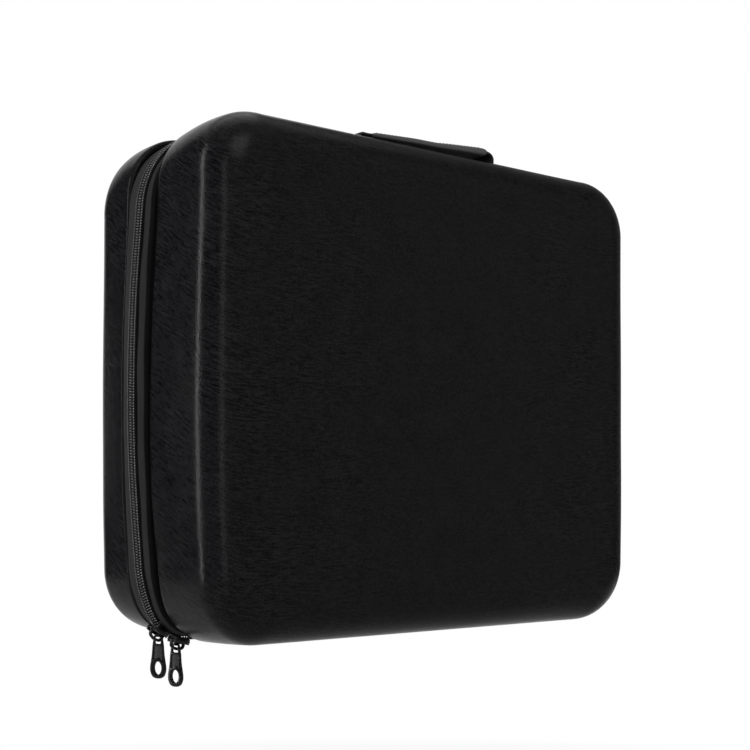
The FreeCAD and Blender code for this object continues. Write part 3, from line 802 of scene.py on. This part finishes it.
def rounded_window(half, low, high, radius):
    """The outline of a window with rounded corners."""
    spots = ((half, high, 0.0), (-half, high, 90.0), (-half, low, 180.0), (half, low, 270.0))
    loop = []
    for x, z, start in spots:
        for angle in quarter(5) + math.radians(start):
            loop.append((x - math.copysign(radius, x) + radius * math.cos(angle),
                         z - radius * (1 if z == high else -1) + radius * math.sin(angle)))
    return np.array(loop)


def winding(outline, anticlockwise):
    """An outline, turned round if it runs the wrong way."""
    x, y = outline[:, 0], outline[:, 1]
    area = np.sum(x * np.roll(y, -1) - np.roll(x, -1) * y)
    return outline if (area > 0) == anticlockwise else outline[::-1]


def plate_curve(outlines, thickness, rounding):
    """A filled curve with rounded edges: the first outline is its edge, the others are holes."""
    data = bpy.data.curves.new("plate", "CURVE")
    data.dimensions = "2D"
    data.fill_mode = "BOTH"
    data.extrude = thickness / 2 - rounding
    data.bevel_depth = rounding
    data.bevel_resolution = 2
    data.offset = -rounding
    for index, outline in enumerate(outlines):
        turned = winding(np.asarray(outline, float), index == 0)
        line = data.splines.new("POLY")
        line.points.add(len(turned) - 1)
        spots = np.column_stack((turned, np.zeros(len(turned)), np.ones(len(turned))))
        line.points.foreach_set("co", spots.ravel())
        line.use_cyclic_u = True
    return data


def cast_plate(outlines, low, high, rounding):
    """Points and faces of a plate between two heights."""
    data = plate_curve(outlines, high - low, rounding)
    item = bpy.data.objects.new("plate", data)
    bpy.context.scene.collection.objects.link(item)
    made = bpy.data.meshes.new_from_object(item.evaluated_get(bpy.context.evaluated_depsgraph_get()))
    work = bmesh.new()
    work.from_mesh(made)
    bmesh.ops.remove_doubles(work, verts=work.verts, dist=1e-4)
    verts = np.array([vert.co for vert in work.verts]) + (0.0, 0.0, (low + high) / 2)
    work.verts.index_update()
    faces = [[vert.index for vert in face.verts] for face in work.faces]
    work.free()
    bpy.data.objects.remove(item)
    bpy.data.curves.remove(data)
    bpy.data.meshes.remove(made)
    return verts, faces


SHARP_EDGE = math.radians(40.0)


def casting(name, form, axes, origin, materials, slots=None):
    """A cast piece with sharp edges: a (points, faces) form turned to its three axes at an origin."""
    points, faces = form
    piece = build(f"{name}_cast", points @ np.array(axes) + origin, faces, materials, slots)
    work = bmesh.new()
    work.from_mesh(piece.data)
    for edge in work.edges:
        edge.smooth = len(edge.link_faces) != 2 or edge.calc_face_angle(0.0) < SHARP_EDGE
    work.to_mesh(piece.data)
    work.free()
    dress(piece, name, f"{name}_body")


def slider_axes(name):
    """A slider's place on the corner: up the zip, across it and outwards, and the pull's pivot."""
    pivot = joint_place(f"{name}_pull_swing")
    reach = pivot - CORNER_CENTRE
    outward = reach / np.linalg.norm(reach)
    across = np.array(BACK)
    along = np.cross(across, outward)
    if name == "lower":
        along, across = -along, -across
    return np.array((along, across, outward)), pivot


# Outlines seen from outside (up the zip, across it), and heights above the middle of the coil
SLIDER_HALF = [(-6.6, 0.0), (-6.5, 3.0), (-5.2, 4.9), (-2.8, 6.3), (0.0, 6.7), (3.2, 6.3), (5.6, 5.5),
               (6.5, 4.3), (6.6, 0.0)]
SLIDER_FLANGE = [(-5.6, 3.9), (-4.4, 5.0), (-2.6, 5.9), (0.0, 6.4), (3.0, 6.1), (5.4, 5.4), (6.2, 4.4),
                 (6.0, 3.6), (5.0, 4.4), (3.0, 5.0), (0.0, 5.3), (-2.6, 4.9), (-4.4, 4.0), (-5.2, 3.2)]
SLIDER_WEDGE = [(-6.0, 0.0), (-4.5, 1.6), (-1.0, 1.0), (1.8, 0.4), (1.8, -0.4), (-1.0, -1.0), (-4.5, -1.6)]
SLIDER_LIFT = 3.7
TOP_PLATE = (2.2, 3.0)
UNDER_PLATE = (-3.6, -2.6)
UNDER_SCALE = 0.97
PLATE_ROUNDING = 0.35
TAPE_GAP = (-0.9, 0.5)
SIDE_WALL_TOP = 4.4
BRIDGE_HALF = 4.6
BRIDGE_FOOT = 4.9
BRIDGE_CROWN = 2.3
BRIDGE_RADIUS = 1.05
BRIDGE_BREADTH = 1.3
BRIDGE_POINTS = 11
PULL_REACH = 2.0


def bridge(rise):
    """The arch along a slider that holds the pull's bar."""
    turn = np.linspace(0.0, math.pi, BRIDGE_POINTS)
    crown = np.column_stack((BRIDGE_HALF * np.cos(turn), np.zeros(BRIDGE_POINTS),
                             rise + BRIDGE_CROWN * np.sin(turn)))
    base = TOP_PLATE[1] - 0.5
    path = np.vstack(((BRIDGE_FOOT, 0.0, base), crown, (-BRIDGE_FOOT, 0.0, base)))
    points, faces = tube(path, BRIDGE_RADIUS, 10)
    return points * (1.0, BRIDGE_BREADTH, 1.0), faces


def slider(name):
    """A cast slider: two shaped plates, flanges that hold the coil, a wedge and a bridge for the pull."""
    axes, pivot = slider_axes(name)
    plate = mirrored(SLIDER_HALF, (1.0, -1.0), 5)
    forms = [cast_plate([plate], *TOP_PLATE, PLATE_ROUNDING),
             cast_plate([plate * UNDER_SCALE], *UNDER_PLATE, PLATE_ROUNDING),
             cast_plate([SLIDER_WEDGE], UNDER_PLATE[1] - 0.2, TOP_PLATE[0] + 0.2, 0.1)]
    for side in (1.0, -1.0):
        flange = np.array(SLIDER_FLANGE) * (1.0, side)
        forms.append(cast_plate([flange], TAPE_GAP[1], SIDE_WALL_TOP, 0.3))
        forms.append(cast_plate([flange], UNDER_PLATE[1] - 0.4, TAPE_GAP[0], 0.2))
    forms.append(bridge(np.linalg.norm(pivot - CORNER_CENTRE) - ZIP_BOTTOM_RADIUS + PULL_REACH - SLIDER_LIFT))
    origin = CORNER_CENTRE + axes[2] * (ZIP_BOTTOM_RADIUS + SLIDER_LIFT)
    casting(f"{name}_slider", join(forms), axes, origin, [METAL])


# Outlines seen on the pull's face (sideways, up), from the middle of its bar
PULL_SIDE = [(0.0, 0.85), (1.8, 0.8), (2.8, 0.15), (3.2, -1.0), (3.6, -3.4), (4.1, -6.4), (4.25, -8.5),
             (4.6, -12.5), (5.3, -16.5), (5.85, -20.0), (5.75, -23.0), (4.5, -25.9), (2.4, -27.3),
             (0.0, -27.6)]
PULL_PANEL = [(0.0, -6.6), (2.0, -6.7), (2.55, -7.6), (2.6, -10.0), (2.85, -13.0), (2.9, -14.6), (2.2, -14.9),
              (1.2, -14.2), (0.0, -13.9)]
PULL_HOLE = (2.75, -25.0, -16.6)
PULL_WINDOW = (2.2, -5.2, -0.75)
WINDOW_RADIUS = 0.9
PULL_HALF_THICKNESS = 0.85
PANEL_HALF_THICKNESS = 0.45
PANEL_OVERLAP = 1.12
PULL_TWIST = {"upper": 25.0, "lower": 20.0}
PULL_LEAN = {"upper": -55.0, "lower": 35.0}


def pull_place(name):
    """The axes of a hanging pull, and the place of its bar, which lies off the middle of the bridge."""
    axes, pivot = slider_axes(name)
    outward = axes[2]
    lean = math.radians(PULL_LEAN[name])
    origin = pivot + PULL_REACH * (outward * math.cos(lean) + np.cross(BACK, outward) * math.sin(lean))
    turn = math.radians(PULL_TWIST[name])
    face = (math.cos(turn), math.sin(turn), 0.0)
    sideways = (-math.sin(turn), math.cos(turn), 0.0)
    return (sideways, UP, face), origin


def pull(name):
    """A cast tab: raised border, sunk panel, a window round the bridge and an oval eye."""
    edge = mirrored(PULL_SIDE, (-1.0, 1.0), 5)
    sunk = mirrored(PULL_PANEL, (-1.0, 1.0), 4)
    holes = [rounded_window(*PULL_WINDOW, WINDOW_RADIUS), sunk, oval(*PULL_HOLE)]
    border = cast_plate([edge, *holes], -PULL_HALF_THICKNESS, PULL_HALF_THICKNESS, 0.4)
    centre = sunk.mean(axis=0)
    wider = centre + (sunk - centre) * PANEL_OVERLAP
    panel = cast_plate([wider], -PANEL_HALF_THICKNESS, PANEL_HALF_THICKNESS, 0.05)
    slots = [0] * len(border[1]) + [1] * len(panel[1])
    casting(f"{name}_pull", join([border, panel]), *pull_place(name), [METAL, PANEL], slots)


# Handle

WEBBING_WIDTH = 22.0
WEBBING_THICKNESS = 2.0
GRIP_ENDS = (-51.0, 55.0)
GRIP_LENGTH = GRIP_ENDS[1] - GRIP_ENDS[0]
GRIP_TOP = ((-54.0, 335.4), (-15.0, 337.5), (8.0, 338.1), (23.0, 339.4), (50.0, 341.3), (58.0, 341.2))
GRIP_BOTTOM = ((-54.0, 331.8), (0.0, 333.4), (58.0, 335.6))
GRIP_RINGS = 61
GRIP_SIDES = 44
GRIP_SEAM_INSET = 4.0
GRIP_PITCH = 3.4
GRIP_END_ROUNDING = 3.0
GRIP_END_FULLNESS = 0.58
WEBBING_PATH = [(-88.0, 323.7), (-72.0, 323.7), (-64.5, 324.6), (-62.0, 328.0), (-61.6, 331.5),
                (-59.4, 333.5), (-53.0, 333.6), (-30.0, 334.8), (0.0, 336.0), (30.0, 337.4), (52.0, 338.6),
                (59.0, 338.6), (62.6, 336.2), (63.0, 332.0), (62.2, 328.0), (64.5, 324.6), (72.0, 323.7),
                (88.0, 323.7)]


def handle_strap():
    """Webbing through the top wall at both ends, with flat feet inside."""
    path = at_depth(spline(WEBBING_PATH, 8), HANDLE_Y)
    along = unit(np.gradient(path, axis=0))
    ups = np.column_stack((-along[:, 2], np.zeros(len(path)), along[:, 0]))
    piece = strip("handle_strap", path, ups, flat_section(WEBBING_WIDTH, WEBBING_THICKNESS), WEBBING)
    dress(piece, "handle_webbing", "front_half")


def squared(wave, power):
    """A wave with flatter crests, for the section of a soft box."""
    return np.sign(wave) * np.abs(wave) ** power


def sleeve_ring(share):
    """One section of the sleeve, thinner close to either end."""
    x = GRIP_ENDS[0] + GRIP_LENGTH * share
    top = looked_up(GRIP_TOP, x)
    bottom = looked_up(GRIP_BOTTOM, x)
    ending = min(share, 1 - share) * GRIP_LENGTH
    rounding = math.sqrt(max(1 - max(1 - ending / GRIP_END_ROUNDING, 0.0) ** 2, 0.0))
    plump = rounding * (1 - GRIP_END_FULLNESS) + GRIP_END_FULLNESS
    turn = full_turn(GRIP_SIDES)
    wide = squared(np.cos(turn), 0.36) * GRIP_HALF * (0.96 + 0.04 * plump)
    tall = squared(np.sin(turn), 0.5) * (top - bottom) / 2 * plump
    return np.column_stack((np.full(GRIP_SIDES, x), HANDLE_Y + wide, (top + bottom) / 2 + tall))


def handle_sleeve():
    """Padded leather sleeve round the webbing: a soft box, lower at its left end."""
    verts = np.vstack([sleeve_ring(share) for share in np.linspace(0.0, 1.0, GRIP_RINGS)])
    verts[:, 2] += waviness(verts, size=22.0, height=0.3)
    faces = grid_faces(GRIP_RINGS, GRIP_SIDES, close_columns=True) + end_caps(GRIP_RINGS, GRIP_SIDES)
    piece = build("handle_sleeve", verts, faces, [GRIP])
    dress(piece, "handle_grip", "front_half")
    xs = np.linspace(GRIP_ENDS[0] + GRIP_SEAM_INSET, GRIP_ENDS[1] - GRIP_SEAM_INSET, 80)
    seam = np.column_stack((xs, looked_up(GRIP_TOP, xs) + 0.05))
    for label, side in (("front", -1.0), ("rear", 1.0)):
        line = at_depth(seam, HANDLE_Y + side * (GRIP_HALF - GRIP_SEAM_INSET))
        stitches(f"handle_sleeve_stitches_{label}", line, UP, GRIP_PITCH, "front_half")


# Inside

HINGE_MIDDLE = [(-12.0, 3.6), (-6.0, 2.5), (0.0, 2.3), (6.0, 2.5), (12.0, 3.9), (17.3, 5.3), (22.0, 5.4)]
HINGE_THICKNESS = 0.75


def hinge_cloth():
    """Sewn cloth along the bottom, which joins the two halves between the ends of the zip."""
    low, high = corners("hinge_strip")
    lower = spline([(low[1], 4.3), *HINGE_MIDDLE, (high[1], 5.4)], 4)
    section = [(-y, z) for y, z in lower] + [(-y, z + HINGE_THICKNESS) for y, z in lower[::-1]]
    path = np.linspace((low[0], 0.0, 0.0), (high[0], 0.0, 0.0), 120)
    piece = strip("hinge_cloth", path, UP, section, TAPE)
    dress(piece, "hinge_strip", "rear_half")


def zip_end_tab(name):
    """A folded tab sewn across the end of the zip."""
    low, high = corners(name)
    middle = (low + high) / 2
    path = np.linspace((middle[0], low[1], middle[2]), (middle[0], high[1], middle[2]), 16)
    piece = strip(f"{name}_cloth", path, UP, flat_section(high[0] - low[0], 0.7), TAPE)
    dress(piece, name, "rear_half")


STRAP_OVERLAP = (118.0, 196.0)
STRAP_LIFT = 1.7
STRAP_ARCH = 1.4
STRAP_THICKNESS = 1.5
STRAP_POINTS = 70
STRAP_RISE = 60.0
STRAP_PITCH = 3.2
STRAP_STITCH_LIFT = 1.62
# A box with a cross in it: share of the strap's width, distance from its sewn end
STRAP_SEAM = [(-0.42, 3.0), (0.42, 3.0), (0.42, 21.0), (-0.42, 21.0), (-0.42, 3.0), (0.42, 21.0), (0.42, 3.0),
              (-0.42, 21.0)]


def strap_length(name, node, start, end, lift):
    """One length of a strap from its sewn end to its free end, raised by `lift`, and its boxed stitches."""
    low, high = corners(node)
    middle = (low[0] + high[0]) / 2
    width = high[0] - low[0]
    inward = -np.array(BACK)
    zs = np.linspace(start, end, STRAP_POINTS)
    rise = np.clip(np.abs(zs - start) / STRAP_RISE, 0.0, 1.0)
    arch = STRAP_ARCH * np.sin(math.pi / 2 * rise) ** 2 + lift * np.clip(rise * 1.5 - 0.2, 0.0, 1.0)
    path = np.column_stack((np.full(STRAP_POINTS, middle), high[1] - STRAP_THICKNESS / 2 - arch, zs))
    along = unit(np.gradient(path, axis=0))
    ups = unit(inward - along * (along @ inward)[:, None])
    piece = strip(name, path, ups, flat_section(width, STRAP_THICKNESS), WEBBING)
    dress(piece, node, "rear_half")
    away = math.copysign(1.0, end - start)
    seam_y = high[1] - STRAP_STITCH_LIFT
    seam = [(middle + across * width, seam_y, start + away * up) for across, up in STRAP_SEAM]
    stitches(f"{name}_stitches", dense(np.array(seam)), inward, STRAP_PITCH, "rear_half")


def console_strap(node):
    """A hook and loop strap in two lengths that overlap, sewn to the rear wall at both ends."""
    low, high = corners(node)
    strap_length(f"{node}_lower", node, low[2], STRAP_OVERLAP[1], 0.0)
    strap_length(f"{node}_upper", node, high[2], STRAP_OVERLAP[0], STRAP_LIFT)


NET_CELL = (6.0, 7.0)
NET_YARN = 0.34


def net_strands(low, high, radius):
    """Both ends (x, z) of each yarn of the net that lies inside the lid's outline."""
    width, height = NET_CELL
    strands = []
    for row in range(int((high[2] - low[2]) / height)):
        for column in range(int((high[0] - low[0]) / width) + 1):
            x = low[0] + width * (column + 0.5 * (row % 2))
            z = low[2] + height * row
            for step in (-0.5, 0.5):
                strands.append(((x, z), (x + width * step, z + height)))
    strands = np.array(strands)
    reach = np.abs(strands[..., 0]) - (high[0] - radius)
    drop = (low[2] + radius) - strands[..., 1]
    cut = (reach > 0) & (drop > 0) & (np.hypot(reach, drop) > radius)
    outside = cut | (np.abs(strands[..., 0]) > high[0]) | (strands[..., 1] > high[2])
    return strands[~outside.any(axis=1)]


def pocket_mesh():
    """Knitted net: diamonds of yarn inside the lid's outline, bound along its edge."""
    low, high = corners("pocket_net")
    depth = (low[1] + high[1]) / 2
    radius = CORNER_RADIUS - low[2]
    strands = net_strands(low, high, radius)
    run = strands[:, 1] - strands[:, 0]
    along = at_depth(unit(run), 0.0)
    out = np.tile(BACK, (len(strands), 1))
    reach = np.linalg.norm(run[0]) / 2
    yarn = [(-reach, 0.0, 0.0), (-reach * 0.8, 0.12, 0.1), (0.0, 0.3, 0.0), (reach * 0.8, 0.12, -0.1),
            (reach, 0.0, 0.0)]
    form, faces = tube(yarn, np.array((1.5, 1.0, 1.0, 1.0, 1.5)) * NET_YARN, 5)
    middles = at_depth(strands.mean(axis=1), depth)
    verts, faces = repeat(form, faces, middles, np.stack((along, np.cross(along, out), out), axis=1))
    piece = build("pocket_mesh", verts, faces, [NET])
    dress(piece, "pocket_net", "front_half")
    hem = pocket_hem(low, high, radius, depth)
    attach(hem, "front_half")


def pocket_hem(low, high, radius, depth):
    """Binding on the three sewn edges of the net."""
    turn = quarter(17)
    left = np.linspace((low[0], high[2]), (low[0], low[2] + radius), 40)
    out = np.column_stack((np.cos(turn), np.sin(turn)))
    corner = np.array((low[0] + radius, low[2] + radius)) - radius * out
    half = np.vstack((left, corner[1:]))
    bottom = np.linspace((low[0] + radius, low[2]), (high[0] - radius, low[2]), 60)[1:-1]
    path = at_depth(np.vstack((half, bottom, half[::-1] * (-1.0, 1.0))), depth)
    return strip("pocket_hem", path, BACK, flat_section(6.0, 1.6, 6), BINDING)


def pocket_elastic():
    """Gathered elastic along the top of the net pocket."""
    low, high = corners("pocket_band")
    middle = (low + high) / 2
    xs = np.linspace(low[0], high[0], 420)
    gathers = 0.5 * np.sin(xs / 1.9) + 0.3 * np.sin(xs / 5.3)
    path = np.column_stack((xs, middle[1] + gathers, np.full(len(xs), middle[2])))
    piece = strip("pocket_elastic", path, BACK, flat_section(high[2] - low[2], 1.7), BINDING)
    dress(piece, "pocket_band", "front_half")


# Camera, light and floor, in metres

CAMERA_PLACE = (-0.6671, -0.7924, 0.0905)
CAMERA_YAW = 0.704
FOCAL_PIXELS = 1424.0
HORIZON_ROW = 498.0
IMAGE_SIZE = 750.0
SENSOR = 36.0
LAMP_AIM = (0.0, 0.0, 0.16)
FLOOR_LEVEL = -0.4
FLOOR_RADIUS = 14.0
FLOOR_POINTS = 64
FLOOR_FADE = (0.7, 1.9)
FLAG_RADIUS = 2.5
FLAG_POINTS = 33
AMBIENT = 0.38
WHITE = (1.0, 1.0, 1.0, 1.0)


def camera():
    """A level camera whose picture is shifted up to the photograph's horizon."""
    data = bpy.data.cameras.new("camera")
    data.sensor_width = SENSOR
    data.lens = FOCAL_PIXELS * SENSOR / IMAGE_SIZE
    data.shift_y = (HORIZON_ROW - IMAGE_SIZE / 2) / IMAGE_SIZE
    data.clip_end = 50.0
    item = bpy.data.objects.new("camera", data)
    item.location = CAMERA_PLACE
    item.rotation_euler = (math.pi / 2, 0.0, -CAMERA_YAW)
    bpy.context.scene.collection.objects.link(item)
    bpy.context.scene.camera = item


def softbox(name, place, width, height, power):
    """An area lamp aimed at the middle of the bag."""
    data = bpy.data.lights.new(name, "AREA")
    data.shape = "RECTANGLE"
    data.size = width
    data.size_y = height
    data.energy = power
    item = bpy.data.objects.new(name, data)
    item.location = place
    item.rotation_euler = (Vector(LAMP_AIM) - Vector(place)).to_track_quat("-Z", "Y").to_euler()
    bpy.context.scene.collection.objects.link(item)


def flag(name, turns, top, shade):
    """A cloth screen round a part of the set, which keeps the walls there from mirroring white."""
    g = material(name)
    folds = g.noise(g.object_place(), 40.0, 3.0)
    colour = g.blend(folds, grey(shade * 0.8), grey(shade * 1.2))
    cloth = g.surface(g.node("BsdfDiffuse", {"Color": colour}))
    turn = np.radians(np.linspace(*turns, FLAG_POINTS))
    ring = np.column_stack((np.cos(turn), np.sin(turn), np.zeros(FLAG_POINTS))) * FLAG_RADIUS
    low = ring + (0.0, 0.0, FLOOR_LEVEL + 0.001)
    high = ring + (0.0, 0.0, top)
    piece = build(name, np.vstack((low, high)) / MM, grid_faces(2, FLAG_POINTS), [cloth])
    piece.visible_camera = False


def seen_directly(g):
    """1 for the rays that see the background: camera, mirror and glass rays."""
    camera_or_mirror = g.math("MAXIMUM", g.node("LightPath", output="Is Camera Ray"),
                              g.node("LightPath", output="Is Glossy Ray"))
    return g.math("MAXIMUM", camera_or_mirror, g.node("LightPath", output="Is Transmission Ray"))


def floor():
    """A pale round floor that fades to the white background away from the bag."""
    g = material("pale_floor")
    place = g.object_place()
    distance = g.node("VectorMath", {0: place}, operation="LENGTH", output="Value")
    mottle = g.noise(place, 3.0, 3.0)
    near = g.node("BsdfDiffuse", {"Color": g.blend(mottle, grey(0.86), grey(0.9))})
    white = g.node("Emission", {"Color": WHITE, "Strength": 1.0})
    share = g.math("MULTIPLY", g.ramp(distance, *FLOOR_FADE), seen_directly(g))
    finish = g.surface(g.node("MixShader", {0: share, 1: near, 2: white}))
    turn = full_turn(FLOOR_POINTS)
    verts = np.column_stack((np.cos(turn), np.sin(turn), np.zeros(FLOOR_POINTS))) * FLOOR_RADIUS / MM
    piece = build("floor", verts, [tuple(range(FLOOR_POINTS))], [finish])
    piece.location = (0.0, 0.0, FLOOR_LEVEL)


def world():
    """Even light from all sides, which the camera and mirrors see as white."""
    scene = bpy.context.scene
    scene.world = bpy.data.worlds.new("studio")
    g = Graph(scene.world)
    strength = g.ramp(seen_directly(g), 0.0, 1.0, AMBIENT, 1.0)
    g.node("OutputWorld", {"Surface": g.node("Background", {"Color": WHITE, "Strength": strength})})
    scene.view_settings.view_transform = "Standard"


# The bag

moulded_shell("front", -1, FRONT_DEPTH, FRONT_EDGE, lean=0.0, sag=3.2, bulge=1.3, slack=0.0)
moulded_shell("rear", 1, REAR_DEPTH, REAR_EDGE, lean=4.0, sag=1.6, bulge=1.0, slack=14.0)
for piece in (zip_tape("front", -1, FRONT_TAPE), zip_coil("front", -1)):
    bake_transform(piece)
rim_binding("front", -1)
for piece in (zip_tape("rear", 1, REAR_TAPE), zip_coil("rear", 1)):
    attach(piece, "rear_half")
rim_binding("rear", 1)
for slider_name in ("upper", "lower"):
    slider(slider_name)
    pull(slider_name)
handle_strap()
handle_sleeve()
hinge_cloth()
for side_name in ("left", "right"):
    zip_end_tab(f"zip_end_tab_{side_name}")
    console_strap(f"console_strap_{side_name}")
pocket_mesh()
pocket_elastic()
plate = frame["nodes"]["handle_backing_plate"].data
plate.materials.clear()
plate.materials.append(PLATE)

# The set

camera()
floor()
world()
flag("left_flag", (99.0, 214.0), 2.4, 0.015)
flag("right_flag", (-36.0, 46.0), 3.4, 0.3)
softbox("left_back", (-1.86, 0.98, 0.62), 0.12, 1.8, 46.0)
softbox("left_front", (-1.8, -1.2, 0.4), 0.1, 1.3, 9.5)
softbox("front", (-0.7, -1.7, 1.9), 1.2, 1.2, 34.0)
softbox("top", (0.1, 0.5, 2.3), 1.4, 1.4, 14.0)
